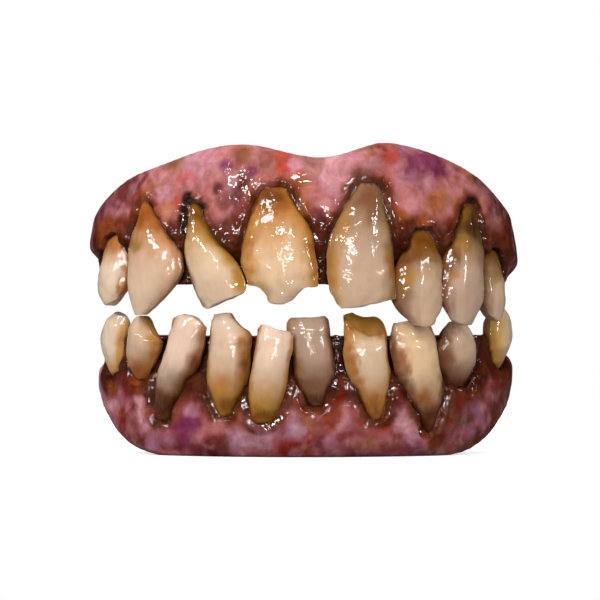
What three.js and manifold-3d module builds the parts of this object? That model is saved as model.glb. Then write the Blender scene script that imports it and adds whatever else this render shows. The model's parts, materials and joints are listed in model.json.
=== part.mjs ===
// Zombie costume teeth: an upper and a lower plate of cast acrylic that clip over the wearer's own teeth.
// Each plate is a hollow horseshoe gum shell with crooked, chipped teeth bonded into sockets along its front.
// Millimetres. +Z is up, the teeth face -Y, and left and right are as seen from the front.
import * as THREE from "three";
import { mergeVertices } from "three/addons/utils/BufferGeometryUtils.js";
import Module from "manifold-3d";

const wasm = await Module();
wasm.setup();

const DEG = Math.PI / 180;

// Fit between a tooth and its socket
const SOCKET_GAP = 0.45;
const SOCKET_FLARE = 1.12;
const SOCKET_REACH = 4;

// Shell section, measured inwards from the plate's arch line
const LABIAL_WALL = 3.0;
const WAIST_WALL = 2.7;
const WAIST_SHARE = 0.6;
const RIM_WIDTH = 1.2;
const RIM_ROUNDING = 0.7;
const RIM_ROUNDING_FROM = 0.88;
const CHANNEL_WIDTH = 6.4;
const LINGUAL_WALL = 1.6;
const SHELF_THICKNESS = 1.6;

// The gum rolls out to its full swell over this much height on the two sides of its margin
const MARGIN_TOOTHWARD = 1.2;
const MARGIN_GUMWARD = 1.0;

// Horseshoe: a half ellipse with short straight arms, stepped by angle from the midline
const ARM_ANGLE = 96;
const ARCH_COLUMNS = 44;
const GUM_ROWS = 11;
const SHARED_CORNER = 1e-4;

// Tooth sections: places from neck (0) to biting edge (1) where the tables give a width
const STATIONS = [0.05, 0.3, 0.6, 0.85, 1];
const RINGS = [0, 0.05, 0.2, 0.4, 0.6, 0.78, 0.92, 1];
const SOCKET_RINGS = [0, 0.05, 0.2, 0.4, 0.6, 0.85, 1];
const NECK_CLOSE = 0.35;
const NECK_NARROW = 0.6;
const EDGE_CLOSE = 0.82;
const SECTION_POWER = 2.5;
const CHIP_START = 0.6;
const TOOTH_MIDDLE = 0.5;
const PLAIN_STEPS = 8;
const CHIPPED_STEPS = 10;

const COLOURS = {
  gum: 0xa5606a,
  ivory: 0xd9bd93,
  amber: 0xcf9f5c,
  grey: 0xb39c88,
};

// Plates. side is +1 where the gum lies above the teeth. Heights are above the surface that the set stands on.
// A tooth's neck and tip are places seen from the front: distance from the midline, then height.
// widths and shifts are its width, and its sidestep from the line between neck and tip, at each station.
// proud moves a crooked tooth out of the row. edge and broken are chips: how much is cut from the biting edge at
// places across it from -1 to 1, and from its front face only.
// front and back are how far a tooth stands out of the arch line and reaches behind it, at each station.
// rim: height of the gum's free edge at angles along the arch. margin: height where gum gives way to teeth.
// folds: grooves down the gum, and swellings where depth is negative.
const UPPER = {
  name: "upper",
  side: 1,
  halfWidth: 26.5,
  depth: 23,
  shelf: 21.8,
  margin: { angle: [-96, -60, 60, 96], height: [25.6, 26.2, 25.8, 23.4] },
  swell: { angle: [-96, -50, 50, 96], amount: [2.0, 1.5, 1.5, 1.9] },
  lean: 0.17,
  lingual: { angle: [-96, -60, 60, 96], height: [28.4, 31.8, 31.8, 28.4] },
  front: [0.7, 1.8, 2.6, 2.7, 2.5],
  back: [0.6, 1.2, 1.4, 0.3, -0.8],
  rim: {
    angle: [-96, -75, -60, -45, -30, -17, 0, 6, 14, 22, 30, 45, 60, 75, 96],
    height: [30.6, 33.3, 35.6, 37.2, 38.9, 39.5, 38.0, 37.8, 38.6, 39.7, 39.5, 38.0, 35.8, 33.0, 30.2],
  },
  folds: [
    { angle: 4, width: 5, depth: 0.6 },
    { angle: -24, width: 4, depth: -0.5 },
    { angle: 24, width: 4, depth: -0.3 },
  ],
  teeth: [
    {
      name: "upper_left_premolar", shade: "ivory", proud: -0.3, neck: [-24.9, 28.2], tip: [-24.0, 19.2],
      widths: [4.0, 5.6, 6.0, 4.8, 2.4], shifts: [0, 0, -0.3, -0.2, 0],
    },
    {
      name: "upper_left_canine", shade: "ivory", proud: 0.1, neck: [-19.9, 32.2], tip: [-19.9, 17.9],
      widths: [1.8, 5.6, 9.2, 5.6, 1.8], shifts: [0, 0.8, 1.4, 0.5, 0],
    },
    {
      name: "upper_left_lateral_incisor", shade: "ivory", neck: [-13.9, 31.8], tip: [-9.5, 19.7],
      widths: [2.2, 4.1, 6.0, 6.8, 6.4], shifts: [0, -0.9, -0.7, -0.2, 0],
      edge: { at: [-1, -0.85, 0.8, 1], cut: [0.6, 0, 0, 0.5] },
    },
    {
      name: "upper_left_central_incisor", shade: "amber", neck: [-3.5, 33.9], tip: [-2.6, 19.3],
      widths: [4.2, 6.8, 9.1, 8.8, 8.5], shifts: [0, -0.1, -0.3, 0.1, 0.2],
      edge: { at: [-1, -0.7, -0.42, -0.26, 0.2, 0.34, 0.5, 1], cut: [2.6, 2.4, 1.2, 0, 0, 1.0, 1.7, 2.0] },
    },
    {
      name: "upper_right_central_incisor", shade: "grey", neck: [7.6, 34.5], tip: [7.5, 18.7],
      widths: [2.8, 5.4, 8.1, 8.2, 7.4], shifts: [0, -0.4, -0.5, -0.4, 0],
      edge: { at: [-1, -0.84, -0.3, 0.3, 1], cut: [0.8, 0, 0.2, 0.7, 1.3] },
    },
    {
      name: "upper_right_lateral_incisor", shade: "ivory", neck: [14.6, 28.7], tip: [14.4, 16.4],
      widths: [2.2, 4.8, 6.9, 5.4, 3.0], shifts: [0, 0.1, -0.2, -0.1, 0.1],
    },
    {
      name: "upper_right_canine", shade: "ivory", proud: 0.2, neck: [20.9, 32.1], tip: [19.2, 16.6],
      widths: [2.2, 3.6, 6.2, 5.9, 3.0], shifts: [0, 0.1, 0.2, -0.1, 0],
    },
    {
      name: "upper_right_premolar", shade: "ivory", proud: -0.4, neck: [24.9, 26.3], tip: [23.7, 17.1],
      widths: [3.6, 5.2, 5.6, 4.6, 2.4], shifts: [0, -0.3, -0.3, -0.2, 0],
    },
  ],
};

const LOWER = {
  name: "lower",
  side: -1,
  halfWidth: 25.6,
  depth: 22,
  shelf: 15.2,
  margin: { angle: [-96, -60, -40, 40, 60, 96], height: [11.4, 10.8, 9.8, 9.8, 11.2, 12.6] },
  swell: { angle: [-96, -50, 50, 96], amount: [1.5, 1.4, 1.5, 2.0] },
  lean: 0.06,
  lingual: { angle: [-96, -72, 72, 96], height: [4, 0, 0, 4] },
  front: [0.6, 1.6, 2.0, 1.6, 1.0],
  back: [0.5, 1.0, 1.4, 1.1, 0.5],
  rim: {
    angle: [-96, -85, -75, -65, -55, -48, 0, 48, 55, 65, 75, 85, 96],
    height: [8.0, 6.4, 4.2, 1.9, 0.5, 0, 0, 0, 0.5, 2.0, 4.2, 6.4, 8.0],
  },
  folds: [
    { angle: -51, width: 1.8, depth: 0.3 },
    { angle: -45, width: 1.8, depth: -0.3 },
    { angle: 40, width: 2.5, depth: -0.4 },
  ],
  teeth: [
    {
      name: "lower_left_second_premolar", shade: "ivory", neck: [-24.9, 9.8], tip: [-24.0, 18.0],
      widths: [2.6, 4.4, 5.6, 4.6, 2.4], shifts: [0, -0.3, -0.8, -0.3, 0],
    },
    {
      name: "lower_left_first_premolar", shade: "ivory", proud: 0.7, neck: [-20.8, 9.7], tip: [-20.2, 17.8],
      widths: [2.0, 3.8, 5.4, 5.4, 4.8], shifts: [0, 0.1, 0.5, 0.4, 0.5],
      edge: { at: [-1, -0.35, 0, 0.4, 1], cut: [1.0, 0, 0.3, 1.5, 2.6] },
    },
    {
      name: "lower_left_canine", shade: "ivory", proud: 0.3, neck: [-17.6, 4.2], tip: [-14.8, 17.9],
      widths: [1.8, 3.6, 5.1, 5.5, 5.2], shifts: [0, -0.3, 0.4, 0.6, 0.5],
      edge: { at: [-1, -0.6, -0.2, 0.4, 0.8, 1], cut: [1.0, 0.3, 0, 0, 0.5, 0.9] },
    },
    {
      name: "lower_left_lateral_incisor", shade: "ivory", neck: [-9.8, 5.0], tip: [-10.4, 18.1],
      widths: [1.8, 4.4, 5.5, 5.6, 5.4], shifts: [0, 0.3, 0.7, 0.9, 1.1],
      edge: { at: [-1, -0.86, -0.4, 0.05, 0.2, 0.38, 0.75, 1], cut: [1.1, 0.1, 0, 0.1, 0.6, 1.9, 2.2, 3.0] },
    },
    {
      name: "lower_left_central_incisor", shade: "ivory", proud: 1.1, neck: [-4.6, 4.3], tip: [-4.5, 16.7],
      widths: [2.2, 3.6, 4.6, 4.7, 4.5], shifts: [0, 0.2, 0.5, 0.9, 1.0],
      edge: { at: [-1, -0.85, -0.6, -0.3, 0, 0.5, 1], cut: [0.8, 0.1, 0, 0.2, 0.5, 0.7, 1.0] },
    },
    {
      name: "lower_right_central_incisor", shade: "grey", proud: -0.7, neck: [1.3, 6.3], tip: [0.6, 17.6],
      widths: [2.2, 4.0, 4.9, 5.4, 5.2], shifts: [0, 0.2, 0.2, -0.1, -0.1],
      edge: { at: [-1, -0.85, 0.85, 1], cut: [0.6, 0, 0, 0.6] },
    },
    {
      name: "lower_right_lateral_incisor", shade: "amber", neck: [8.8, 4.7], tip: [7.5, 18.4],
      widths: [2.0, 3.9, 5.5, 5.5, 5.4], shifts: [0, 0, -0.2, 0, 0.2],
      edge: { at: [-1, -0.7, -0.45, -0.2, 0.7, 0.85, 1], cut: [0.3, 0, 0.1, 0.7, 0.9, 1.4, 2.4] },
      broken: { at: [-1, -0.5, 0, 1], cut: [1.2, 2.3, 2.9, 3.2] },
    },
    {
      name: "lower_right_canine", shade: "ivory", neck: [15.6, 2.8], tip: [13.4, 17.2],
      widths: [1.6, 3.4, 5.7, 6.4, 4.2], shifts: [0, 0.4, 0.2, 0.2, 0.1],
    },
    {
      name: "lower_right_first_premolar", shade: "grey", neck: [20.0, 8.6], tip: [19.9, 17.0],
      widths: [3.0, 5.2, 5.9, 4.6, 2.8], shifts: [0, -0.2, -0.3, -0.2, 0],
    },
    {
      name: "lower_right_second_premolar", shade: "amber", proud: 0.5, neck: [25.0, 10.9], tip: [24.8, 18.9],
      widths: [2.6, 4.6, 5.8, 4.8, 2.4], shifts: [0, 0, 0, 0.1, 0],
    },
  ],
};

// Values between the rows of a short table
function straightBetween(places, values, at) {
  if (at <= places[0]) return values[0];
  for (let i = 1; i < places.length; i++) {
    if (at > places[i]) continue;
    const share = (at - places[i - 1]) / (places[i] - places[i - 1]);
    return values[i - 1] + share * (values[i] - values[i - 1]);
  }
  return values.at(-1);
}

function smoothBetween(places, values, at) {
  const held = Math.min(Math.max(at, places[0]), places.at(-1));
  return new THREE.CubicInterpolant(places, values, 1).evaluate(held)[0];
}

const bell = (distance, width) => Math.exp(-((distance / width) ** 2));

// A point of a plate's arch: angle from the midline, offset outwards from the arch line
function archPoint(plate, angle, offset) {
  const held = THREE.MathUtils.clamp(angle, -90, 90) * DEG;
  const across = Math.sin(held);
  const forward = Math.cos(held);
  const out = new THREE.Vector2(plate.depth * across, -plate.halfWidth * forward).normalize();
  const arm = Math.max(Math.abs(angle) - 90, 0) * DEG * plate.halfWidth;
  return new THREE.Vector2(plate.halfWidth * across, -plate.depth * forward + arm).addScaledVector(out, offset);
}

// A closed surface from rows of points. Each row is a ring, and every ring has the same count.
function skin(rings, firstCap, lastCap) {
  const count = rings[0].length;
  const index = [];
  for (let row = 0; row + 1 < rings.length; row++) {
    for (let i = 0; i < count; i++) {
      const a = row * count + i;
      const b = row * count + ((i + 1) % count);
      index.push(a, b, b + count, a, b + count, a + count);
    }
  }
  const last = (rings.length - 1) * count;
  for (const [a, b, c] of firstCap) index.push(a, c, b);
  for (const [a, b, c] of lastCap) index.push(last + a, last + b, last + c);
  const geometry = new THREE.BufferGeometry().setFromPoints(rings.flat());
  geometry.setIndex(index);
  return geometry;
}

function turnInsideOut(geometry) {
  const index = geometry.getIndex();
  for (let i = 0; i < index.count; i += 3) {
    const second = index.getX(i + 1);
    index.setX(i + 1, index.getX(i + 2));
    index.setX(i + 2, second);
  }
  return geometry;
}

function toSolid(geometry) {
  const bare = new THREE.BufferGeometry();
  bare.setAttribute("position", geometry.getAttribute("position"));
  bare.setIndex(geometry.getIndex());
  const merged = mergeVertices(bare, SHARED_CORNER);
  return new wasm.Manifold(new wasm.Mesh({
    numProp: 3,
    vertProperties: new Float32Array(merged.getAttribute("position").array),
    triVerts: new Uint32Array(merged.getIndex().array),
  }));
}

function toGeometry(solid) {
  const { vertProperties, triVerts } = solid.getMesh();
  const geometry = new THREE.BufferGeometry();
  geometry.setAttribute("position", new THREE.BufferAttribute(vertProperties, 3));
  geometry.setIndex(new THREE.BufferAttribute(triVerts, 1));
  geometry.computeVertexNormals();
  return geometry;
}

// Where a tooth stands on its arch, from its neck and tip as seen from the front
function toothPlace(plate, tooth) {
  const middle = (tooth.neck[0] + tooth.tip[0]) / 2;
  const angle = Math.asin(middle / (plate.halfWidth + TOOTH_MIDDLE));
  const yaw = Math.atan2(plate.depth * Math.sin(angle), plate.halfWidth * Math.cos(angle));
  const sideways = (tooth.tip[0] - tooth.neck[0]) / Math.cos(yaw);
  const length = Math.hypot(sideways, tooth.tip[1] - tooth.neck[1]);
  const foot = archPoint(plate, angle / DEG, tooth.proud ?? 0);
  return {
    length,
    position: new THREE.Vector3(foot.x, foot.y, (tooth.neck[1] + tooth.tip[1]) / 2),
    rotation: new THREE.Euler(0, -plate.side * Math.asin(sideways / length), yaw, "ZYX"),
  };
}

// A tooth lofted from neck to biting edge in its own frame. grow makes it larger all round, and reach carries its
// front forward with a little flare, which gives the tool that opens its socket.
function toothGeometry(plate, tooth, grow = 0, reach = 0) {
  const { length } = toothPlace(plate, tooth);
  const steps = tooth.edge && !reach ? CHIPPED_STEPS : PLAIN_STEPS;
  const across = Array.from({ length: steps + 1 }, (_, i) => -Math.cos((i * Math.PI) / steps));
  const rings = (reach > 0 ? SOCKET_RINGS : RINGS).map((t) => {
    const close = t === 0 ? NECK_CLOSE : t === 1 ? EDGE_CLOSE : 1;
    const half = (smoothBetween(STATIONS, tooth.widths, t) / 2) * (t === 0 ? NECK_NARROW : 1) + grow;
    const shift = smoothBetween(STATIONS, tooth.shifts, t);
    const front = smoothBetween(STATIONS, plate.front, t) + grow;
    const back = smoothBetween(STATIONS, plate.back, t) + grow;
    const centre = (back - front) / 2;
    const deep = ((back + front) / 2) * close;
    const lift = (t - 0.5) * (length + 2 * grow);
    const chipping = Math.max(t - CHIP_START, 0) / (1 - CHIP_START);
    const point = (u, way) => {
      const profile = way < 0 && tooth.broken ? tooth.broken : tooth.edge;
      const cut = profile ? straightBetween(profile.at, profile.cut, u) : 0;
      const bulge = deep * (1 - Math.abs(u) ** SECTION_POWER) ** (1 / SECTION_POWER);
      const opening = way < 0 && reach > 0;
      const x = u * half * (opening ? SOCKET_FLARE : 1) + shift;
      const y = opening ? centre - deep - reach : centre + way * bulge;
      return new THREE.Vector3(x, y, -plate.side * (lift - cut * chipping));
    };
    const backs = reach > 0 ? across : across.slice(1, -1);
    return [...across.map((u) => point(u, -1)), ...backs.map((u) => point(u, 1)).reverse()];
  });
  const around = rings[0].length;
  const facing = (i) => (reach > 0 ? around - 1 - i : (around - i) % around);
  const cap = [];
  for (let i = 0; i < steps; i++) {
    cap.push([i, i + 1, facing(i + 1)], [i, facing(i + 1), facing(i)]);
  }
  const whole = cap.filter((corners) => new Set(corners).size === 3);
  const geometry = skin(rings, whole, whole);
  return plate.side > 0 ? turnInsideOut(geometry) : geometry;
}

// How far the gum's face stands out of the arch line, at a climb from the shelf towards the rim
function gumRelief(plate, angle, climb, height) {
  const margin = (straightBetween(plate.margin.angle, plate.margin.height, angle) - plate.shelf) * plate.side;
  const swell = straightBetween(plate.swell.angle, plate.swell.amount, angle);
  const rise = THREE.MathUtils.smoothstep(climb, margin - MARGIN_TOOTHWARD, margin + MARGIN_GUMWARD);
  const lean = plate.lean * Math.max(climb - margin, 0);
  const along = (at) => (angle - at) * DEG * plate.halfWidth;
  const folds = plate.folds.reduce((sum, fold) => sum + fold.depth * bell(along(fold.angle), fold.width), 0);
  const rounding = RIM_ROUNDING * THREE.MathUtils.smoothstep(climb / height, RIM_ROUNDING_FROM, 1);
  return rise * (swell - folds) - lean - rounding;
}

// The hollow gum shell: one closed section at each column of the arch
function gumGeometry(plate) {
  const inner = -LABIAL_WALL - CHANNEL_WIDTH;
  const sections = [];
  const rings = [];
  for (let column = 0; column <= ARCH_COLUMNS; column++) {
    const angle = ARM_ANGLE * ((2 * column) / ARCH_COLUMNS - 1);
    const rim = smoothBetween(plate.rim.angle, plate.rim.height, angle);
    const height = Math.abs(Math.max(rim, 0) - plate.shelf);
    const lingual = Math.abs(straightBetween(plate.lingual.angle, plate.lingual.height, angle) - plate.shelf);
    const rimInside = gumRelief(plate, angle, height, height) - RIM_WIDTH;
    const section = [];
    for (let row = 0; row < GUM_ROWS; row++) {
      const climb = (height * row) / (GUM_ROWS - 1);
      section.push([gumRelief(plate, angle, climb, height), climb]);
    }
    section.push([rimInside, height]);
    section.push([Math.min(rimInside, -WAIST_WALL), WAIST_SHARE * height]);
    section.push([-LABIAL_WALL, SHELF_THICKNESS]);
    section.push([inner, SHELF_THICKNESS]);
    section.push([inner, lingual]);
    section.push([inner - LINGUAL_WALL, lingual]);
    section.push([inner - LINGUAL_WALL, 0]);
    section.push([-LABIAL_WALL, 0]);
    sections.push(section.map(([offset, climb]) => new THREE.Vector2(offset, climb)));
    rings.push(section.map(([offset, climb]) => {
      const { x, y } = archPoint(plate, angle, offset);
      return new THREE.Vector3(x, y, plate.shelf + plate.side * climb);
    }));
  }
  const firstCap = THREE.ShapeUtils.triangulateShape(sections[0], []);
  const lastCap = THREE.ShapeUtils.triangulateShape(sections.at(-1), []);
  const geometry = skin(rings, firstCap, lastCap);
  return plate.side > 0 ? turnInsideOut(geometry) : geometry;
}

function paintedMesh(name, geometry, colour) {
  const material = new THREE.MeshStandardMaterial({ color: colour, roughness: 0.3, metalness: 0 });
  const mesh = new THREE.Mesh(geometry, material);
  mesh.name = name;
  return mesh;
}

// One plate: its teeth in their places, and the gum with a socket opened round each of them
function buildPlate(plate) {
  const group = new THREE.Group();
  group.name = `${plate.name}_plate`;
  let gum = toSolid(gumGeometry(plate));
  for (const tooth of plate.teeth) {
    const { position, rotation } = toothPlace(plate, tooth);
    const mesh = paintedMesh(tooth.name, toothGeometry(plate, tooth), COLOURS[tooth.shade]);
    mesh.position.copy(position);
    mesh.rotation.copy(rotation);
    mesh.updateMatrix();
    mesh.geometry.computeVertexNormals();
    group.add(mesh);
    const socket = toothGeometry(plate, tooth, SOCKET_GAP, SOCKET_REACH).applyMatrix4(mesh.matrix);
    gum = gum.subtract(toSolid(socket));
  }
  group.add(paintedMesh(`${plate.name}_gum`, toGeometry(gum), COLOURS.gum));
  return group;
}

// The set stands with its lowest point on the floor and its middle over the origin
const set = new THREE.Group();
set.name = "zombie_costume_teeth";
set.add(buildPlate(UPPER), buildPlate(LOWER));
const box = new THREE.Box3().setFromObject(set, true);
const middle = box.getCenter(new THREE.Vector3());
set.position.set(-middle.x, -middle.y, -box.min.z);

export default set;
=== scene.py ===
# %% [markdown]
# # Zombie costume teeth
# Two cast acrylic plates, an upper and a lower one, clip over the wearer's own teeth. Each is a mottled gum
# with crooked, stained teeth in it, brushed with a wet lacquer. The solids give the sizes, the places and the
# chips, so this lesson keeps them as a frame and models the visible skin of every solid over it.

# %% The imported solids
import json
import math

import bpy
import numpy as np
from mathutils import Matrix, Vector, noise
from mathutils.bvhtree import BVHTree
from mathutils.kdtree import KDTree


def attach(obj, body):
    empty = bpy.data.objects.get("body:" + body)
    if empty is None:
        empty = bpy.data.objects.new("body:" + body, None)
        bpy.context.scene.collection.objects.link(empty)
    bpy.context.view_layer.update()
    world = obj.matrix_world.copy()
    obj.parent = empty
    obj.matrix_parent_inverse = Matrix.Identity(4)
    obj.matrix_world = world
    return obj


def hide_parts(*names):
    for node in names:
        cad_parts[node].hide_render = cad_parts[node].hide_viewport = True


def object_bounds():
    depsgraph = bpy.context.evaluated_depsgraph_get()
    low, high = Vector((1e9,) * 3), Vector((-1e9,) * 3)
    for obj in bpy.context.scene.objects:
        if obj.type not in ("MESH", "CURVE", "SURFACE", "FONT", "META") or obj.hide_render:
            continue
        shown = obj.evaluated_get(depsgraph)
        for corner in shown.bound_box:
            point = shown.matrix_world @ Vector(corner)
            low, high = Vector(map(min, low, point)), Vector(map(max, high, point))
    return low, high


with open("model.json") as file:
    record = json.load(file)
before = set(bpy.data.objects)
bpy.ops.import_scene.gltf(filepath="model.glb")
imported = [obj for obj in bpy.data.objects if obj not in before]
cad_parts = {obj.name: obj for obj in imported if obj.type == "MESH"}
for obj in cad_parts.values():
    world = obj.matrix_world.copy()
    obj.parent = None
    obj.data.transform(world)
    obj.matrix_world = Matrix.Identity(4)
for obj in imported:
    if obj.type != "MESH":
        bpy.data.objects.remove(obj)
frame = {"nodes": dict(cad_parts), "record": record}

MM = 0.001
cad_low, cad_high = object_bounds()
print("solids:", len(frame["nodes"]), "box in mm:", [round(s / MM, 1) for s in cad_high - cad_low])

# %% [markdown]
# ## The camera
# The set is photographed straight from the front with a long lens, so that the arch hardly shrinks towards
# its ends. One plane, that of the front teeth, fixes the scale: eight pixels to the millimetre. The lens
# follows from that and from the distance, which is simpler than trying lenses by eye.

# %% Camera
IMAGE_SIDE = 600
PIXELS_PER_MM = 8.0
MIDLINE_PIXEL = 304.0
LEVEL_PIXEL = 300.0
LEVEL_HEIGHT = 19.8
FRONT_PLANE = -13.55
CAMERA_DISTANCE = 480.0
SENSOR = 36.0

camera_data = bpy.data.cameras.new("front_camera")
camera_data.sensor_width = SENSOR
camera_data.lens = SENSOR * CAMERA_DISTANCE * PIXELS_PER_MM / IMAGE_SIDE
camera = bpy.data.objects.new("front_camera", camera_data)
camera_x = (IMAGE_SIDE / 2 - MIDLINE_PIXEL) / PIXELS_PER_MM
camera.location = Vector((camera_x, FRONT_PLANE - CAMERA_DISTANCE, LEVEL_HEIGHT)) * MM
camera.rotation_euler = (math.radians(90), 0, 0)
bpy.context.scene.collection.objects.link(camera)
bpy.context.scene.camera = camera
print("lens in mm:", round(camera_data.lens, 1))

# %% [markdown]
# ## Paints and shader nodes
# Everything here is coloured by small graphs of nodes. They could be clicked together in the shader editor,
# but a short helper that adds one node and fills its sockets keeps a whole graph on one screen. Paints are
# written as hex codes, as on a tin, and turned into the linear values that a shader works with.

# %% Helpers for nodes and paints
def linear(code):
    """A paint's hex code as the linear colour that a shader wants."""
    parts = [int(code[i:i + 2], 16) / 255 for i in (1, 3, 5)]
    return tuple(c / 12.92 if c <= 0.04045 else ((c + 0.055) / 1.055) ** 2.4 for c in parts)


def node(tree, kind, inputs=None, **settings):
    """Adds a shader node of a kind, sets its options and inputs, and links the inputs that are sockets."""
    made = tree.nodes.new("ShaderNode" + kind)
    for key, value in settings.items():
        setattr(made, key, value)
    for key, value in (inputs or {}).items():
        if isinstance(value, bpy.types.NodeSocket):
            tree.links.new(value, made.inputs[key])
        else:
            made.inputs[key].default_value = value
    return made


def new_material(name):
    material = bpy.data.materials.new(name)
    material.use_nodes = True
    material.node_tree.nodes.clear()
    return material


print("middle grey in linear light:", round(linear("#808080")[0], 3))

# %% [markdown]
# ## The paper
# Small props are shot on a sheet of white paper that runs out of the picture. A plane is enough for it.
# Bright paper would also throw a pale haze into the lacquer, so the camera sees glowing paper while every
# other ray meets a dull one. A photographer does the same with black cards just outside the frame.

# %% Floor
PAPER_GLOW = 0.5
PAPER_BOUNCE = 0.18
paper = new_material("pale_paper")
tree = paper.node_tree
grain = node(tree, "TexNoise", {"Scale": 900.0, "Detail": 3.0})
tone = node(tree, "MapRange", {"Value": grain.outputs["Fac"], "To Min": 0.9, "To Max": 0.94})
lit_paper = node(tree, "BsdfPrincipled", {
    "Base Color": tone.outputs["Result"], "Roughness": 0.9, "Specular IOR Level": 0.0,
    "Emission Color": (1, 1, 1, 1), "Emission Strength": PAPER_GLOW})
dim_paper = node(tree, "BsdfDiffuse", {"Color": (PAPER_BOUNCE, PAPER_BOUNCE, PAPER_BOUNCE, 1)})
seen = node(tree, "LightPath")
paper_shader = node(tree, "MixShader", {
    "Fac": seen.outputs["Is Camera Ray"], 1: dim_paper.outputs["BSDF"], 2: lit_paper.outputs["BSDF"]})
node(tree, "OutputMaterial", {"Surface": paper_shader.outputs["Shader"]})

FLOOR_SIDE = 0.44
FLOOR_DROP = 0.03
bpy.ops.object.select_all(action="DESELECT")
bpy.ops.mesh.primitive_plane_add(size=FLOOR_SIDE, location=(0, 0, -FLOOR_DROP * MM))
floor = bpy.context.active_object
floor.name = "floor"
floor.data.materials.append(paper)
print("floor:", FLOOR_SIDE, "m")

# %% [markdown]
# ## The studio light
# Lacquer shows each lamp as a glint, so the lamps that shade the form and the ones that sparkle are kept
# apart. Large softboxes give the soft shading but aren't mirrored, and thin strips are mirrored but light
# nothing. One set of lamps for both would need many tries, because each move changes both at once.

# %% Studio light
AIM = (cad_low + cad_high) / 2
LAMP_DISTANCE = 0.5


def softbox(name, azimuth, elevation, width, height, power, tint=(1, 1, 1)):
    """A lamp that faces the teeth. Azimuth 0 is in front, and left is negative."""
    turn, rise = math.radians(azimuth), math.radians(elevation)
    way = Vector((math.sin(turn) * math.cos(rise), -math.cos(turn) * math.cos(rise), math.sin(rise)))
    lamp = bpy.data.lights.new(name, "AREA")
    lamp.shape = "RECTANGLE"
    lamp.size, lamp.size_y = width, height
    lamp.energy, lamp.color = power, tint
    box = bpy.data.objects.new(name, lamp)
    box.location = AIM + way * LAMP_DISTANCE
    box.rotation_mode = "QUATERNION"
    box.rotation_quaternion = (-way).to_track_quat("-Z", "Y")
    bpy.context.scene.collection.objects.link(box)
    return box


WARM = (1.0, 0.94, 0.86)
for shading_lamp in (
    softbox("window", -24, 30, 0.3, 0.3, 2.0),
    softbox("right_fill", 58, 14, 0.3, 0.3, 0.8, WARM),
    softbox("left_fill", -66, 12, 0.3, 0.3, 0.4, WARM),
    softbox("back_fill", 180, 35, 0.4, 0.3, 0.9),
):
    shading_lamp.visible_glossy = False
for glint_lamp in (
    softbox("left_strip", -32, 34, 0.24, 0.022, 1.4),
    softbox("front_strip", 6, 20, 0.14, 0.018, 0.6),
    softbox("low_strip", -8, 7, 0.12, 0.018, 0.4),
    softbox("right_strip", 58, 22, 0.02, 0.1, 0.4),
    softbox("far_left_strip", -66, 28, 0.1, 0.022, 0.6),
):
    glint_lamp.visible_diffuse = False
print("lamps:", len(bpy.data.lights))

# %% White surroundings that the lacquer hardly mirrors
AMBIENT = 0.5
REFLECTED = 0.02
world = bpy.data.worlds.new("white_studio")
bpy.context.scene.world = world
world.use_nodes = True
world.node_tree.nodes.clear()
seen = node(world.node_tree, "LightPath")
mirrored = node(world.node_tree, "MapRange", {
    "Value": seen.outputs["Is Glossy Ray"], "To Min": AMBIENT, "To Max": REFLECTED})
strength = node(world.node_tree, "MapRange", {
    "Value": seen.outputs["Is Camera Ray"], "To Min": mirrored.outputs["Result"], "To Max": 1.0})
studio = node(world.node_tree, "Background", {"Strength": strength.outputs["Result"]})
studio.inputs["Color"].default_value = (1, 1, 1, 1)
node(world.node_tree, "OutputWorld", {"Surface": studio.outputs["Background"]})
bpy.context.scene.view_settings.view_transform = "Standard"
print("light from all round:", AMBIENT, "and as the lacquer mirrors it:", REFLECTED)

# %% [markdown]
# ## Copies to work on
# Every piece starts as a copy of its solid, with doubled corners merged, so that modifiers run across its
# faces. The solids stay as they are. Corners are read and moved all at once, as tables of numbers, because
# stepping through a hundred thousand of them would take long.

# %% Helpers for pieces
MERGE = 0.001 * MM


def only(piece):
    bpy.ops.object.select_all(action="DESELECT")
    piece.select_set(True)
    bpy.context.view_layer.objects.active = piece


def switch(mode):
    bpy.ops.object.mode_set(mode=mode)


def copy_of(node_name, name):
    """A merged copy of a solid, free of the frame, to model on."""
    only(frame["nodes"][node_name])
    bpy.ops.object.duplicate()
    piece = bpy.context.active_object
    piece.name, piece.data.name = name, name
    piece.parent = None
    for key in list(piece.keys()):
        del piece[key]
    piece.data.materials.clear()
    bpy.ops.mesh.customdata_custom_splitnormals_clear()
    switch("EDIT")
    bpy.ops.mesh.select_all(action="SELECT")
    bpy.ops.mesh.remove_doubles(threshold=MERGE)
    switch("OBJECT")
    return piece


def apply_modifier(piece, kind, **settings):
    only(piece)
    modifier = piece.modifiers.new(kind.lower(), kind)
    for key, value in settings.items():
        setattr(modifier, key, value)
    bpy.ops.object.modifier_apply(modifier=modifier.name)


def points_of(piece):
    """The piece's vertices in millimetres."""
    flat = np.empty(len(piece.data.vertices) * 3, np.float32)
    piece.data.vertices.foreach_get("co", flat)
    return flat.reshape(-1, 3).astype(float) / MM


def normals_of(piece):
    flat = np.empty(len(piece.data.vertices) * 3, np.float32)
    piece.data.vertex_normals.foreach_get("vector", flat)
    return flat.reshape(-1, 3).astype(float)


def move_points(piece, points):
    piece.data.vertices.foreach_set("co", (points * MM).astype(np.float32).ravel())
    piece.data.update()


def keep_in_box(piece):
    """Trims what a wave lifts past the solids' box."""
    move_points(piece, np.clip(points_of(piece), np.array(cad_low) / MM, np.array(cad_high) / MM))


print("corners are trimmed in mm at:", [round(s / MM, 2) for s in cad_high])

# %% Helpers for noise and soft steps
SEED_STEPS = (17.3, 5.7, 29.1)


def cloud(points, size, octaves, seed):
    """Smooth noise of that size in millimetres at each point, from about -1 to 1."""
    shift = Vector([seed * step for step in SEED_STEPS])
    return np.array([noise.fractal(Vector(p) / size + shift, 1.0, 2.0, octaves) for p in points])


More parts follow.
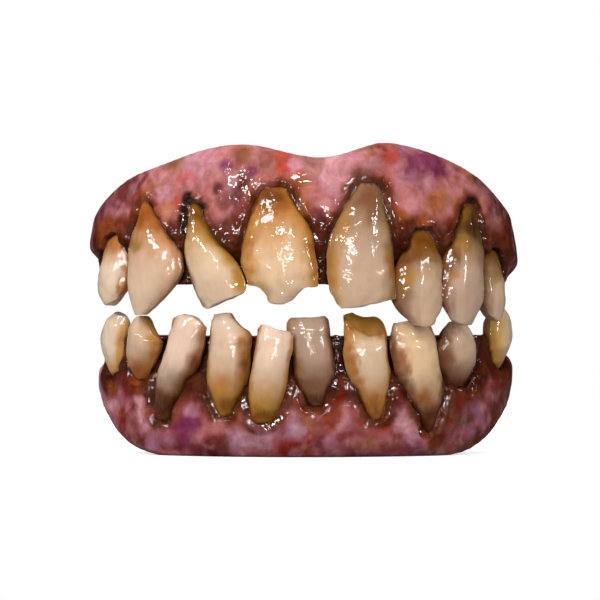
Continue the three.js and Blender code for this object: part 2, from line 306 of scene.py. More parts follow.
def smooth(value, start, end):
    """A soft step from 0 at the start to 1 at the end."""
    share = np.clip((value - start) / (end - start), 0, 1)
    return share * share * (3 - 2 * share)


def fade(value, start, end):
    return 1 - smooth(value, start, end)


def cloud_texture(name, size):
    texture = bpy.data.textures.new(name, "CLOUDS")
    texture.noise_scale = size * MM
    texture.noise_depth = 1
    return texture


print("a quarter up a soft step:", smooth(0.25, 0, 1))

# %% [markdown]
# ## Finding the way round the arch
# The plates follow half an ellipse. To place a tooth's stain or a pit in the gum, it helps to know how far
# along the arch a point lies, how far out of it, and how high up its tooth. These could be drawn by hand as
# weights. Measuring them keeps the marks in place when a shape changes.

# %% Where a point lies on the arch
ARCH_HALF_WIDTH = {"upper": 26.5, "lower": 25.6}
ARCH_DEPTH = {"upper": 23.0, "lower": 22.0}
ARCH_BACK = 11.45
ARCH_ROUNDS = 4
QUARTER = math.pi / 2
ARCH_STEPS = np.linspace(0, QUARTER, 91)


def arch_place(plate, points):
    """Angle from the midline, distance out of the arch and along it, and the way out, at each point."""
    wide, deep = ARCH_HALF_WIDTH[plate], ARCH_DEPTH[plate]
    x, y = points[:, 0], points[:, 1] - ARCH_BACK
    turn = np.arctan2(x / wide, np.maximum(-y / deep, 0))
    for _ in range(ARCH_ROUNDS):
        away = np.stack([x - wide * np.sin(turn), y + deep * np.cos(turn)])
        along = np.stack([wide * np.cos(turn), deep * np.sin(turn)])
        turn = np.clip(turn + (away * along).sum(0) / (along * along).sum(0), -QUARTER, QUARTER)
    outward = np.stack([deep * np.sin(turn), -wide * np.cos(turn)])
    outward /= np.linalg.norm(outward, axis=0)
    away = np.stack([x - wide * np.sin(turn), y + deep * np.cos(turn)])
    paces = np.hypot(wide * np.diff(np.sin(ARCH_STEPS)), deep * np.diff(np.cos(ARCH_STEPS)))
    lengths = np.concatenate([[0], np.cumsum(paces)])
    arm = np.where(np.abs(turn) > QUARTER - 1e-6, np.maximum(y, 0), 0)
    run = np.sign(turn) * (np.interp(np.abs(turn), ARCH_STEPS, lengths) + arm)
    return turn, (away * outward).sum(0), run, outward.T


print("half widths of the arches in mm:", ARCH_HALF_WIDTH)

# %% Where a point lies on its tooth
NECK_BELOW = 0.2
TIP_ABOVE = 0.75
TOOTH_BANDS = 12


def tooth_place(plate, points):
    """Each point's share of the way from neck to biting edge and from left (-1) to right (1), the tooth's
    half width there, and the ways out of the arch and across the tooth."""
    rise = points[:, 2] if plate == "lower" else -points[:, 2]
    share = (rise - rise.min()) / np.ptp(rise)
    neck, tip = points[share < NECK_BELOW].mean(0), points[share > TIP_ABOVE].mean(0)
    axis = (tip - neck) / np.linalg.norm(tip - neck)
    along = (points - neck) @ axis
    along = (along - along.min()) / np.ptp(along)
    outward = np.append(arch_place(plate, points.mean(0)[None])[3][0], 0)
    sideways = np.array([-outward[1], outward[0], 0])
    sideways -= axis * (sideways @ axis)
    reach = (points - neck) @ sideways
    bins = np.linspace(0, 1, TOOTH_BANDS + 1)
    middle = (bins[1:] + bins[:-1]) / 2
    rows = [reach[(along >= low) & (along <= high)] for low, high in zip(bins[:-1], bins[1:])]
    left = np.interp(along, middle, [row.min() for row in rows])
    right = np.interp(along, middle, [row.max() for row in rows])
    across = np.clip(2 * (reach - left) / (right - left) - 1, -1, 1)
    return along, across, (right - left) / 2, outward, sideways


print("bands measured from neck to edge:", TOOTH_BANDS)

# %% [markdown]
# ## Shaping a tooth
# Real teeth are narrow at the root, full at the belly and flat at the biting edge, and these are chipped,
# worn and crooked too. Sculpting eighteen of them would work, but none could be made again. So each solid
# becomes the cage of a subdivision surface, which is fitted until it passes through the solid's corners,
# with a crease to keep the chips crisp. A short table then narrows and leans every root, and two soft waves
# break up the smooth lacquer.

# %% The cage of a tooth
EDGE_CREASE = 0.9
EDGE_FROM = 0.72
SHARP_EDGE = math.radians(40)
FIT_LEVELS = 2
FIT_ROUNDS = 4
FIT_STEP = 0.8


def crease_biting_edge(plate, piece):
    switch("EDIT")
    bpy.ops.mesh.tris_convert_to_quads(face_threshold=math.pi, shape_threshold=math.pi)
    bpy.ops.mesh.select_mode(type="EDGE")
    bpy.ops.mesh.select_all(action="DESELECT")
    bpy.ops.mesh.edges_select_sharp(sharpness=SHARP_EDGE)
    switch("OBJECT")
    height = points_of(piece)[:, 2]
    share = (height - height.min()) / np.ptp(height)
    share = share if plate == "lower" else 1 - share
    for edge in piece.data.edges:
        edge.select = edge.select and bool(share[edge.vertices[0]] > EDGE_FROM)
    switch("EDIT")
    bpy.ops.transform.edge_crease(value=EDGE_CREASE)
    bpy.ops.mesh.select_mode(type="VERT")
    switch("OBJECT")


def fit_cage(piece):
    """Moves the cage outwards until its subdivided surface passes through the solid's own corners."""
    goal = points_of(piece)
    cage = goal.copy()
    trial = piece.modifiers.new("trial", "SUBSURF")
    trial.levels = trial.render_levels = FIT_LEVELS
    for _ in range(FIT_ROUNDS):
        shaped = piece.evaluated_get(bpy.context.evaluated_depsgraph_get())
        cage += FIT_STEP * (goal - points_of(shaped)[:len(goal)])
        move_points(piece, cage)
    piece.modifiers.remove(trial)


print("rounds of fitting a cage:", FIT_ROUNDS)

# %% Girths, leans and rounded edges
# Width of the root's end as a share of the tooth's, the height where the full width begins, a factor for the
# whole width, how far the root's end leans to the right in millimetres, how far the corners of the biting
# edge are drawn back in millimetres, and how much fuller the tooth is there
GIRTHS = {
    "upper_left_premolar": (0.9, 0.35, 1.18, 0.0, 0.8, 0.0),
    "upper_left_canine": (0.2, 0.48, 1.03, -0.8, 0.0, 0.0),
    "upper_left_lateral_incisor": (0.25, 0.7, 1.0, -0.4, 0.0, 0.0),
    "upper_left_central_incisor": (0.42, 0.52, 1.03, -0.4, 0.0, 0.0),
    "upper_right_central_incisor": (0.42, 0.52, 1.05, 0.6, 0.0, 0.0),
    "upper_right_lateral_incisor": (0.5, 0.42, 1.05, 0.6, 1.0, 0.12),
    "upper_right_canine": (0.3, 0.48, 1.1, 0.9, 1.0, 0.12),
    "upper_right_premolar": (0.8, 0.35, 1.12, 0.0, 1.1, 0.0),
    "lower_left_second_premolar": (0.5, 0.4, 1.1, 0.0, 0.0, 0.0),
    "lower_left_first_premolar": (0.5, 0.4, 1.1, 0.0, 0.0, 0.0),
    "lower_left_canine": (0.5, 0.6, 1.0, -0.9, 0.0, 0.0),
    "lower_left_lateral_incisor": (0.45, 0.38, 1.0, -0.5, 0.0, 0.0),
    "lower_left_central_incisor": (0.65, 0.38, 1.0, -0.6, 0.0, 0.0),
    "lower_right_central_incisor": (0.5, 0.4, 1.0, 0.5, 0.0, 0.0),
    "lower_right_lateral_incisor": (0.45, 0.48, 1.0, 0.6, 0.0, 0.0),
    "lower_right_canine": (0.15, 0.42, 1.06, 0.9, 0.0, 0.0),
    "lower_right_first_premolar": (0.5, 0.4, 1.15, 0.0, 0.0, 0.0),
    "lower_right_second_premolar": (0.5, 0.4, 1.08, 0.0, 0.7, 0.0),
}
# The broken incisor's prong: its middle, the heights of its end and its start, and how much its end widens
PRONGED = "upper_left_central_incisor"
PRONG_MIDDLE = -2.5
PRONG_HEIGHTS = (19.3, 20.4)
PRONG_WIDENING = 0.4
# Where a change starts and ends, as shares of the way from neck to edge
LEAN_BAND = (0.0, 0.6)
BELLY_BAND = (0.5, 0.88)
CORNER_BAND = (0.72, 1.0)
ROOT_START = -0.05
# How far the front faces outwards, the limits of the spread, and the rounding of the sides in millimetres
FRONT_BAND = (-0.2, 0.5)
SPREAD_LIMITS = (0.8, 2.5)
LEAST_HALF = 0.1
SIDE_ROUNDING = 0.6


def reshape_tooth(plate, node_name, piece):
    """Narrows and leans the root, rounds the front and the biting edge, and widens the prong."""
    points = points_of(piece)
    along, across, half, outward, sideways = tooth_place(plate, points)
    front = smooth(normals_of(piece) @ outward, *FRONT_BAND)
    root_share, full, girth, lean, drawn_back, fuller = GIRTHS[node_name]
    wanted = half.max() * (root_share + (1 - root_share) * smooth(along, ROOT_START, full))
    wanted = np.where(along < along[np.argmax(half)], wanted, half)
    spread = np.clip(wanted / np.maximum(half, LEAST_HALF), *SPREAD_LIMITS) * girth - 1
    points += sideways * (across * half * spread + lean * fade(along, *LEAN_BAND))[:, None]
    points -= outward * (SIDE_ROUNDING * front * across ** 2)[:, None]
    points += sideways * (fuller * across * half * smooth(along, *BELLY_BAND))[:, None]
    drawn = drawn_back * across ** 2 * smooth(along, *CORNER_BAND)
    points[:, 2] += drawn if plate == "upper" else -drawn
    if node_name == PRONGED:
        widening = PRONG_WIDENING * fade(points[:, 2], *PRONG_HEIGHTS)
        points[:, 0] += (points[:, 0] - PRONG_MIDDLE) * widening
    move_points(piece, points)


print("teeth with girths:", len(GIRTHS))

# %% The teeth's shapes
TOOTH_LEVELS = 3
BY_TEXTURE = {"texture_coords": "LOCAL", "mid_level": 0.5}
# Textures of the waves in the enamel, and their heights in millimetres
TOOTH_WAVES = [(cloud_texture("tooth_waves", 2.4), 0.26), (cloud_texture("tooth_ripples", 1.7), 0.18)]


def model_tooth(plate, node_name):
    piece = copy_of(node_name, f"{node_name}_enamel")
    crease_biting_edge(plate, piece)
    fit_cage(piece)
    apply_modifier(piece, "SUBSURF", levels=TOOTH_LEVELS, render_levels=TOOTH_LEVELS)
    reshape_tooth(plate, node_name, piece)
    for texture, height in TOOTH_WAVES:
        apply_modifier(piece, "DISPLACE", texture=texture, strength=height * MM, **BY_TEXTURE)
    keep_in_box(piece)
    bpy.ops.object.shade_smooth()
    return piece


bodies = frame["record"]["behaviour"]["bodies"]
teeth = {}
for plate in ("upper", "lower"):
    names = [name for name in bodies[plate] if not name.endswith("_gum")]
    teeth[plate] = {name: model_tooth(plate, name) for name in names}
print("teeth:", {plate: len(row) for plate, row in teeth.items()})

# %% [markdown]
# ## Measuring the gum against its teeth
# A gum swells round each tooth and sinks between two of them. All of that depends on one number, the
# distance to the nearest tooth, so the helpers measure it, both straight and as seen from outside. Another
# helper tells where a point shows in the front view, so that knobs, pits and dabs can be noted by their
# place in the picture.

# %% Distances to the teeth
EVERY_THIRD = 3


def joined_teeth(plate):
    """One mesh of all the plate's teeth, to measure against."""
    bpy.ops.object.select_all(action="DESELECT")
    for piece in teeth[plate].values():
        piece.select_set(True)
    bpy.context.view_layer.objects.active = piece
    bpy.ops.object.duplicate()
    bpy.ops.object.join()
    return bpy.context.active_object


def gaps_to(target, points):
    """Distance in millimetres from each point to the target's surface."""
    tree = BVHTree.FromObject(target, bpy.context.evaluated_depsgraph_get())
    return np.array([tree.find_nearest(Vector(p))[3] for p in points * MM]) / MM


def gaps_beside(plate, points):
    """Distance in millimetres from each point to the plate's nearest tooth, as seen from outside the arch."""
    seen_teeth = []
    for piece in teeth[plate].values():
        corners = points_of(piece)
        run, outward = arch_place(plate, corners)[2:]
        facing = (normals_of(piece)[:, :2] * outward).sum(1)
        seen = np.stack([run, corners[:, 2], 0 * run], axis=1)[facing > 0]
        seen_teeth += seen[::EVERY_THIRD].tolist()
    tree = KDTree(len(seen_teeth))
    for index, place in enumerate(seen_teeth):
        tree.insert(place, index)
    tree.balance()
    run = arch_place(plate, points)[2]
    return np.array([tree.find((r, z, 0))[2] for r, z in zip(run, points[:, 2])])


print("corners of the upper teeth:", sum(len(piece.data.vertices) for piece in teeth["upper"].values()))

# %% Raising the skin
LEAST_WEIGHT = 0.002
LABIAL_FACING = (-0.35, 0.1)
LABIAL_OFFSET = (-2.6, -1.8)


def weigh(piece, name, weights):
    group = piece.vertex_groups.new(name=name)
    for index in np.nonzero(weights > LEAST_WEIGHT)[0].tolist():
        group.add([index], float(weights[index]), "REPLACE")
    return name


def push(piece, name, weights, height, texture=None):
    """Raises the skin by a height in millimetres where the weights say, evenly or by a texture."""
    settings = {"texture": texture, **BY_TEXTURE} if texture else {"mid_level": 0.0}
    group = weigh(piece, name, weights)
    apply_modifier(piece, "DISPLACE", vertex_group=group, strength=height * MM, **settings)


def labial_share(plate, piece):
    """1 on the face that shows in the mouth, 0 inside the shell."""
    _, offset, _, outward = arch_place(plate, points_of(piece))
    facing = (normals_of(piece)[:, :2] * outward).sum(1)
    return smooth(facing, *LABIAL_FACING) * smooth(offset, *LABIAL_OFFSET)


print("weights below", LEAST_WEIGHT, "are left out")

# %% Places in the picture
GUM_FACE = 1.8
TURNS = np.radians(np.linspace(-84, 84, 169))
DEPTH_SHARE = 0.35


def pixels_of(points):
    """Where each point shows in the picture, in pixels from its left and its top, and the scale there."""
    scale = PIXELS_PER_MM * CAMERA_DISTANCE / (points[:, 1] - FRONT_PLANE + CAMERA_DISTANCE)
    pixel = IMAGE_SIDE / 2 + (points[:, 0] - camera_x) * scale
    return pixel, LEVEL_PIXEL - (points[:, 2] - LEVEL_HEIGHT) * scale, scale


def face_runs(plate):
    """Where points along the middle of the gum's face show, and how far along the arch each lies."""
    points = np.zeros((len(TURNS), 3))
    points[:, 0] = ARCH_HALF_WIDTH[plate] * np.sin(TURNS)
    points[:, 1] = ARCH_BACK - ARCH_DEPTH[plate] * np.cos(TURNS)
    points[:, :2] += GUM_FACE * arch_place(plate, points)[3]
    return pixels_of(points)[0], arch_place(plate, points)[2]


def near_pixel(plate, points, run, spot, swirl=(0, 0)):
    """Distance of each point from a place in the photograph, in radii. The distance along the arch counts a
    little too, so that a dab near an end doesn't run back along the side."""
    pixel, level, radius = spot
    shown, height, scale = pixels_of(points)
    along = run - np.interp(pixel, *face_runs(plate))
    across = shown - pixel + scale * swirl[0]
    up = height - level + scale * swirl[1]
    return np.sqrt(across ** 2 + up ** 2 + (DEPTH_SHARE * scale * along) ** 2) / radius


print("the upper gum's face shows from and to pixel:", face_runs("upper")[0][[0, -1]].round())

# %% [markdown]
# ## Shaping a gum
# The cast gum is a shell with a rolled margin round every tooth, sunken wedges between the teeth and a lumpy
# face. A voxel remesh gives an even skin that can take all this, and only the margins are divided once more.
# Shrinkwrap pulls the margin onto the teeth, and Displace, held back by vertex groups, rolls, lumps and
# wrinkles it. Sculpt brushes would do it too, but a group worked out from the distance can be changed by one
# number.

# %% An even skin that hugs the teeth
GUM_VOXEL = 0.33
MARGIN_BAND = 1.9
LABIAL_FROM = 0.3
HUG_DEPTH = 0.03
HUG_BROADLY = (0.5, 1.5)
HUG_TIGHTLY = (0.2, 0.6)


def relax(piece, rounds, **settings):
    apply_modifier(piece, "SMOOTH", factor=0.5, iterations=rounds, **settings)


def refine_margins(piece, wanted):
    """Divides the faces whose corners are all wanted."""
    switch("EDIT")
    bpy.ops.mesh.select_mode(type="FACE")
    bpy.ops.mesh.select_all(action="DESELECT")
    switch("OBJECT")
    for face in piece.data.polygons:
        face.select = all(wanted[i] for i in face.vertices)
    switch("EDIT")
    bpy.ops.mesh.subdivide(number_cuts=1)
    bpy.ops.mesh.select_mode(type="VERT")
    switch("OBJECT")


def even_skin(plate):
    """The gum with an even skin, finer at the margins, and the joined teeth that it is measured against."""
    piece = copy_of(f"{plate}_gum", f"{plate}_gum_skin")
    apply_modifier(piece, "REMESH", mode="VOXEL", voxel_size=GUM_VOXEL * MM)
    relax(piece, 8)
    row = joined_teeth(plate)
    only(piece)
    gap = gaps_to(row, points_of(piece))
    refine_margins(piece, (gap < MARGIN_BAND) & (labial_share(plate, piece) > LABIAL_FROM))
    relax(piece, 4)
    return piece, row


def hug_teeth(plate, piece, row):
    """Draws the margins onto the teeth, first broadly and then just at the edge."""
    labial = labial_share(plate, piece)
    hug = {"target": row, "offset": -HUG_DEPTH * MM, "wrap_mode": "ON_SURFACE"}
    snug = weigh(piece, "snug", labial * fade(gaps_to(row, points_of(piece)), *HUG_BROADLY))
    apply_modifier(piece, "SHRINKWRAP", vertex_group=snug, **hug)
    relax(piece, 6, vertex_group=snug)
    snugger = weigh(piece, "snugger", labial * fade(gaps_to(row, points_of(piece)), *HUG_TIGHTLY))
    apply_modifier(piece, "SHRINKWRAP", vertex_group=snugger, **hug)


print("distance between the gum's corners in mm:", GUM_VOXEL)

# %% Wedges, rolls and lumps
WEDGE_HEIGHTS = {"upper": (28.4, 32.4), "lower": (5.4, 7.8)}
WEDGE_GAPS = (2.6, 4.4)
# Offset that a sunken wedge is filled up to, the share of the way there, and the distance where it starts
PAPILLA_OFFSET = 0.8
PAPILLA_FILL = 0.6
PAPILLA_GAPS = (0.1, 0.8)
# Distance from the tooth and width of the rolled margin and of its crinkles, in millimetres
ROLL_AT, ROLL_WIDTH = 0.75, 0.3
CRINKLE_AT, CRINKLE_WIDTH = 0.9, 0.7
STEEP_BAND = (0.35, 0.75)
AHEAD_BAND = (0.35, 0.75)
FACE_GAPS = (0.3, 1.5)
# Noise in this lesson: size in millimetres, octaves, seed
RIM_NOISE = (2.4, 2, 3)
GUM_LUMPS = cloud_texture("gum_lumps", 2.8)
GUM_CRINKLES = cloud_texture("gum_crinkles", 1.5)
GUM_WRINKLES = cloud_texture("gum_wrinkles", 0.7)


def toothward(plate, height, heights):
    """1 at the heights beside the teeth, 0 towards the gum's free edge."""
    share = smooth(height, *heights[plate])
    return 1 - share if plate == "upper" else share


def raise_forms(plate, piece, row):
    """Fills the wedges between the teeth, rolls the margins, and lumps and wrinkles the face."""
    points = points_of(piece)
    gap = gaps_to(row, points)
    labial = labial_share(plate, piece)
    turn, offset, _, outward = arch_place(plate, points)
    wedge = toothward(plate, points[:, 2], WEDGE_HEIGHTS) * fade(gap, *WEDGE_GAPS)
    rim = np.clip(0.75 + 0.7 * cloud(points, *RIM_NOISE), 0.1, 1.4)
    steep = fade(np.abs(normals_of(piece)[:, 2]), *STEEP_BAND)
    ahead = smooth(np.cos(turn), *AHEAD_BAND)
    relax(piece, 30, vertex_group=weigh(piece, "wedges", wedge))
    filled = points_of(piece)
    sunk = np.maximum(PAPILLA_OFFSET - offset, 0) * PAPILLA_FILL * labial * wedge
    filled[:, :2] += outward * (sunk * smooth(gap, *PAPILLA_GAPS))[:, None]
    move_points(piece, filled)
    roll = np.exp(-((gap - ROLL_AT) / ROLL_WIDTH) ** 2)
    push(piece, "rolled_margin", labial * rim * roll, 0.45)
    face = labial * steep * smooth(gap, *FACE_GAPS) * (0.35 + 0.65 * ahead)
    push(piece, "lumps", face, 0.7, GUM_LUMPS)
    beside = np.maximum(np.exp(-((gap - CRINKLE_AT) / CRINKLE_WIDTH) ** 2), wedge)
    margin = labial * (0.3 + 0.7 * ahead) * beside
    push(piece, "crinkles", margin, 0.5, GUM_CRINKLES)
    push(piece, "wrinkles", margin, 0.14, GUM_WRINKLES)
    return points, labial


print("rolled margins lie from a tooth in mm:", ROLL_AT)

# %% The gums' shapes
def spots(*lines):
    """Reads a chart of spots: pixels from the left and the top, radius in pixels, and what else is noted."""
    entries = [entry.split() for line in lines for entry in line.split(",")]
    return [(*map(int, entry[:3]), *entry[3:]) for entry in entries]


# Knobs and pits, each with its height in millimetres
GUM_KNOBS = {"upper": spots(
    "186 203 7 -0.6, 203 205 5 -0.3, 475 201 7 -0.6, 224 170 5 0.4, 246 172 5 0.35, 232 188 4 0.35",
    "219 188 3 -0.3, 235 197 4 -0.35, 242 181 4 0.3, 320 160 14 -0.25",
), "lower": spots(
    "141 402 7 0.2, 142 410 7 0.25, 144 419 7 0.25, 147 428 7 0.2, 133 412 4 -0.35, 133 424 4 -0.35",
    "136 436 4 -0.3, 119 412 3 -0.25, 119 424 3 -0.25, 110 410 4 0.2, 126 412 4 0.2, 450 425 5 0.25",
    "458 430 4 -0.2",
)}


def model_gum(plate):
    piece, row = even_skin(plate)
    hug_teeth(plate, piece, row)
    points, labial = raise_forms(plate, piece, row)
    _, _, run, outward = arch_place(plate, points)
    raised = np.zeros(len(points))
    for *spot, height in GUM_KNOBS[plate]:
        raised += float(height) * np.exp(-near_pixel(plate, points, run, spot) ** 2)
    lifted = points_of(piece)
    lifted[:, :2] += outward * (labial * raised)[:, None]
    move_points(piece, lifted)
    piece.vertex_groups.clear()
    keep_in_box(piece)
    only(piece)
    bpy.ops.object.shade_smooth()
    bpy.data.objects.remove(row)
    return piece


gums = {plate: model_gum(plate) for plate in teeth}
print("gum faces:", {plate: len(piece.data.polygons) for plate, piece in gums.items()})

# %% [markdown]
# ## Staining the teeth
# A maker brushes thin browns over ivory acrylic: darkest at the root, streaked along the neck, caught in the
# grooves at the sides, dabbed on the belly. The chart names these paints for each tooth, and they are laid
# over one another in the same order and kept as a colour on every vertex. Umber towards the edges is painted
# shade, and so partly is the dark line where the gum meets the tooth. An image would need unwrapping first.

# %% Paints for the teeth
def paints(**codes):
    return {name: np.array(linear(code)) for name, code in codes.items()}


TOOTH_PAINTS = paints(
    cream="#dfc6ab", sand="#d6ba9a", beige="#d3b499", pearl="#dec1aa", ash="#c8a98f", mauve="#bda08a",
    honey="#b5732f", ochre="#ad7820", amber="#9a5614", umber="#6a3408", bark="#3c1a06", olive="#8a6420",
    smoke="#7d5034", peach="#dfbd96", clay="#cf9f80", sienna="#924614", taupe="#94704f", dove="#b0947f",
    # gold is a painted light: it brightens the sides of the two end teeth of the lower row, which their
    # neighbours shade
    gold="#e0ac58",
)
# Paints of the root, neck, belly, tip, left and right, and the enamel over them, then the heights where the
# root's and the neck's paint end, as shares of the tooth's length, and how far the sides' paint reaches in,
# as shares of the half width, tooth by tooth in the order of the girths
TOOTH_CHART = dict(zip(GIRTHS, [
    ("sienna honey cream sand sand honey ivory", 0.05, 0.4, 0.0, 0.12),
    ("sienna honey beige sand olive clay ivory", 0.18, 0.5, 0.2, 0.5),
    ("umber ochre sand beige umber ochre ivory", 0.2, 0.45, 0.25, 0.5),
    ("umber honey peach ash ochre ochre amber", 0.16, 0.52, 0.5, 0.45),
    ("smoke taupe ash ash ochre olive grey", 0.2, 0.5, 0.45, 0.45),
    ("umber olive ash beige umber ochre ivory", 0.28, 0.45, 0.75, 0.2),
    ("bark olive mauve mauve umber umber ivory", 0.3, 0.5, 0.4, 0.25),
    ("umber olive ash ash umber olive ivory", 0.15, 0.45, 0.4, 0.2),
    # the gold on this tooth's right side is painted light on a side its neighbour shades
    ("umber honey cream cream beige gold ivory", 0.04, 0.3, 0.0, 0.25),
    ("sienna honey ash beige ash ochre ivory", 0.16, 0.4, 0.0, 0.5),
    ("bark umber pearl pearl ochre amber ivory", 0.22, 0.5, 0.15, 0.45),
    ("umber ochre beige pearl ochre amber ivory", 0.14, 0.45, 0.15, 0.45),
    ("umber ochre pearl pearl ochre honey ivory", 0.14, 0.5, 0.25, 0.2),
    ("bark smoke dove dove ochre smoke grey", 0.14, 0.46, 0.35, 0.3),
    ("umber honey sand ochre ochre ochre amber", 0.14, 0.36, 0.5, 0.25),
    ("bark umber peach peach umber sand ivory", 0.14, 0.46, 0.45, 0.1),
    ("bark smoke ash pearl umber smoke grey", 0.14, 0.42, 0.4, 0.15),
    # the gold on this tooth's left side is painted light on a side its neighbour shades
    ("umber ochre sand sand gold sand amber", 0.08, 0.3, 0.7, 0.0),
]))
print("paints:", len(TOOTH_PAINTS), "for teeth:", len(TOOTH_CHART))

# %% Dabs on the teeth
TOOTH_DABS = {"upper": spots(
    "143 212 12 sienna, 160 226 9 sienna, 135 245 9 olive, 193 213 10 olive, 215 236 9 ochre",
    "229 257 8 ochre, 240 282 8 ochre, 183 235 5 umber, 247 243 8 amber, 249 257 7 honey, 250 270 6 honey",
    "313 248 7 amber, 314 262 6 amber, 315 276 5 amber, 362 197 13 smoke, 374 214 9 smoke",
    "343 224 7 ochre, 335 240 7 ochre, 331 254 7 ochre, 331 268 7 ochre, 333 282 6 ochre, 389 246 7 olive",
    "391 260 7 amber, 393 274 6 amber, 404 262 9 umber, 408 277 9 ochre, 403 290 7 olive, 424 247 9 ochre",
    "467 220 12 umber, 452 254 8 umber, 462 243 9 ochre, 452 275 6 ochre, 490 258 12 smoke",
    "496 275 8 olive, 113 244 7 honey",
), "lower": spots(
    # The gold dabs on the two end teeth are painted light on their shaded sides.
    "112 368 6 gold, 152 340 6 ochre, 153 352 5 amber, 136 370 9 sienna, 196 364 9 umber, 186 384 9 olive",
    "166 402 11 umber, 241 343 7 amber, 243 354 7 amber, 244 365 7 umber, 242 376 6 amber",
    "222 386 12 honey, 224 404 9 umber, 291 372 6 amber, 313 386 9 smoke, 366 326 11 olive",
    "351 326 5 umber, 381 331 6 olive, 350 348 6 amber, 352 360 7 amber, 355 371 6 amber, 359 382 6 amber",
    "374 400 9 amber, 402 354 7 sienna, 403 363 7 sienna, 406 372 7 smoke, 424 398 9 amber",
    "430 416 9 bark, 447 356 9 umber, 456 384 10 umber, 492 368 8 gold",
)}
# A worn top: the pixels from the left and from the top of its lower edge
WORN_TOP = {"lower_right_lateral_incisor": ((347, 356, 369, 389), (319, 329, 336, 333))}
print("tooth dabs:", {plate: len(dabs) for plate, dabs in TOOTH_DABS.items()})

# %% The teeth's colours
FIBRES = (0.4, 5, 1)
BLOTS = (1.8, 4, 2)
SPECKS = (0.6, 4, 9)
WASH = (2.5, 2, 6)


def blend(colour, paint, share):
    return colour + (paint - colour) * share[:, None]


def lay(colour, table, coats):
    """Lays coats over a colour, one after another: the name of a paint, and the share that it covers."""
    for paint, share in coats:
        colour = blend(colour, table[paint], share)
    return colour


def wash_of(points):
    """How thickly the brown wash lies at each point."""
    return np.clip(0.7 + 0.8 * cloud(points, *WASH), 0.25, 1)


def store_colour(piece, name, colour):
    attribute = piece.data.attributes.new(name, "FLOAT_COLOR", "POINT")
    rgba = np.concatenate([np.clip(colour, 0, 1), np.ones((len(colour), 1))], axis=1)
    attribute.data.foreach_set("color", rgba.astype(np.float32).ravel())


def paint_tooth(plate, node_name, piece):
    names, root_end, neck_end, left_reach, right_reach = TOOTH_CHART[node_name]
    root, neck, belly, tip, left, right, _ = names.split()
    points = points_of(piece)
    along, across, _, outward, _ = tooth_place(plate, points)
    gap = gaps_to(gums[plate], points)
    fibres = cloud(np.stack([across * 2.4, along * 1.6, across * 0], axis=1), *FIBRES)
    blots = cloud(points, *BLOTS)
    specks = cloud(points * [1, 1, 0.5], *SPECKS)
    wash = wash_of(points)
    level = along + 0.02 * fibres + 0.06 * blots
    edge = across + 0.15 * blots + 0.08 * fibres
    sides = [(left, -edge, left_reach), (right, edge, right_reach)]
    colour = lay(np.tile(TOOTH_PAINTS[belly], (len(points), 1)), TOOTH_PAINTS, [
        (tip, smooth(level, 0.65, 0.97)),
        (neck, fade(level, neck_end * 0.2, neck_end * 1.45)),
        *((paint, 0.85 * smooth(side, 1 - 1.3 * reach, 1)) for paint, side, reach in sides if reach),
    ])
    front = smooth(normals_of(piece) @ outward, -0.1, 0.4)
    pixel, height, _ = pixels_of(points)
    for dab_pixel, dab_level, radius, paint in TOOTH_DABS[plate]:
        away = np.hypot(pixel - dab_pixel + 3 * specks, height - dab_level + 4 * blots) / radius
        colour = blend(colour, TOOTH_PAINTS[paint], 0.8 * front * fade(away + 0.2 * specks, 0.0, 1.6))
    if node_name in WORN_TOP:
        below = height - np.interp(pixel, *WORN_TOP[node_name]) + specks
        colour = lay(colour, TOOTH_PAINTS, [
            ("olive", 0.65 * fade(below, -1, 0.5)),
            ("umber", 0.6 * np.exp(-(below / 1.2) ** 2)),
        ])
    # rim darkens the tooth towards its left and right edges with umber: painted shade where the sides turn
    # towards their neighbours.
    rim = smooth(np.abs(across) + 0.1 * blots, 0.72, 1.05)
    grime = smooth(fibres + 0.5 * specks, 0.1, 0.8) * (0.1 + 0.9 * fade(along, 0.25, 0.7))
    colour = lay(colour, TOOTH_PAINTS, [
        ("umber", 0.35 * rim * fade(along, 0.6, 0.95)),
        (root, fade(level, root_end * 0.5, root_end * 1.6)),
        (neck, 0.7 * wash * fade(gap + 0.6 * blots, 0.3, 1.8)),
        # bark where the tooth meets the gum is a brown stain, and painted shade in that crevice.
        ("bark", 0.8 * wash * fade(gap + 0.3 * specks, 0.05, 0.6)),
        ("umber", 0.14 * grime),
    ])
    store_colour(piece, "paint", colour)


for plate, row in teeth.items():
    for node_name, piece in row.items():
        paint_tooth(plate, node_name, piece)
print("painted teeth:", len(TOOTH_CHART))

# %% [markdown]
# ## The lacquered enamel
# Over the stain lies a clear, slightly wavy lacquer. A coat with its own bump does that, so that the glints
# waver while the enamel below stays smooth. A little light scattering inside keeps the edges from looking
# like chalk. Ivory, amber and grey teeth get a material each, so that another set can be tinted differently.

